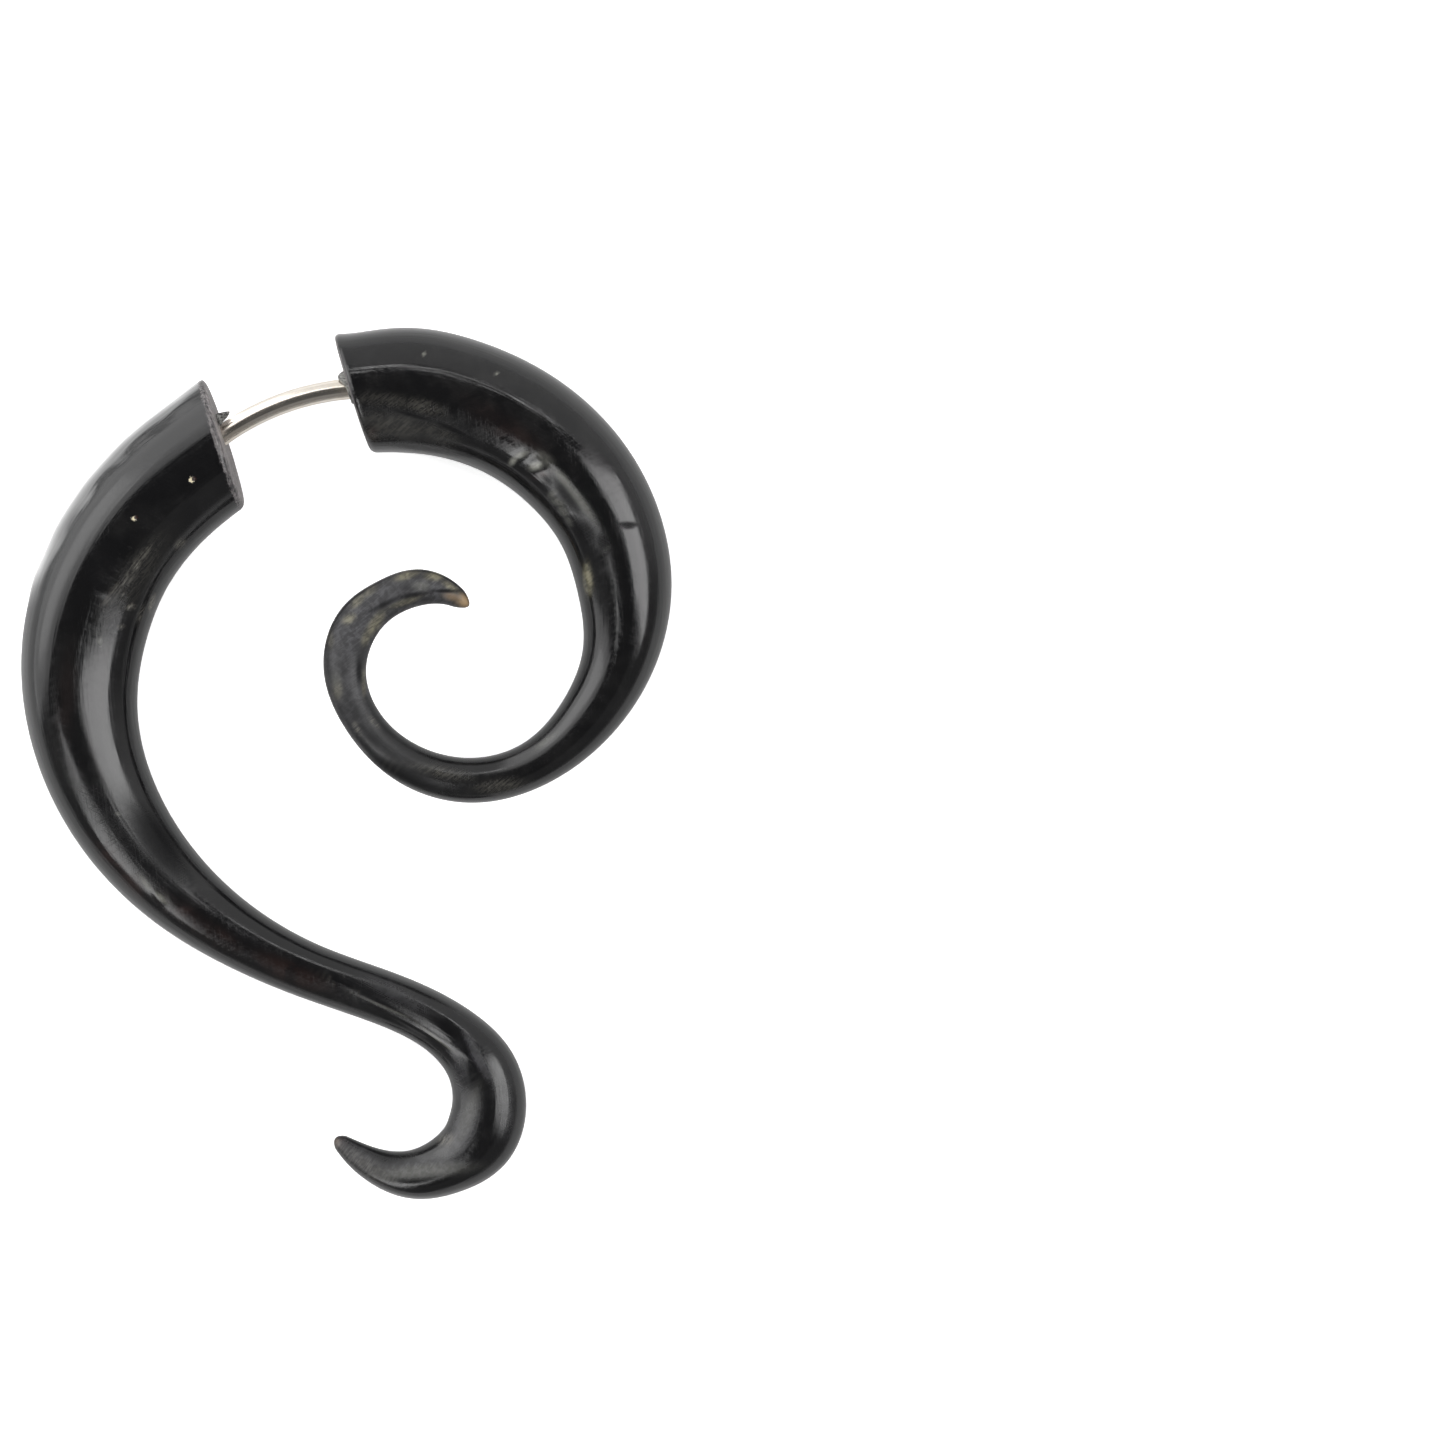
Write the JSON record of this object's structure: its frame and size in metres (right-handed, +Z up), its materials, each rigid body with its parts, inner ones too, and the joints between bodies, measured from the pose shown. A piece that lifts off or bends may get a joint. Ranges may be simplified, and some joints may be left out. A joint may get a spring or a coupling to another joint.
{
  "type": "spiral hook earring",
  "caption": "Carved dark horn earring lying on its side: a thick spiral and a long hooked tail joined across the ear's gap by a thin bent steel post, from which the tail slides off.",
  "frame": {"origin": "on the table, under the middle of the earring's outline as it lies on its side", "axes": "+Y from the tail towards the ear's gap, +X from the hook towards the spiral, +Z up from the table"},
  "size_m": [0.0406, 0.0546, 0.0074],
  "materials": {
    "horn": "polished black horn",
    "post_steel": "polished wire"
  },
  "bodies": {
    "spiral_half": {"spiral": "horn", "post": "post_steel"},
    "hook_half": {"hook": "horn"}
  },
  "joints": [
    {"name": "hook_pull_off", "type": "slide", "parent": "spiral_half", "child": "hook_half", "axis": [-0.8161, -0.5779, -0.0042], "range_m": [0, 0.006]}
  ]
}
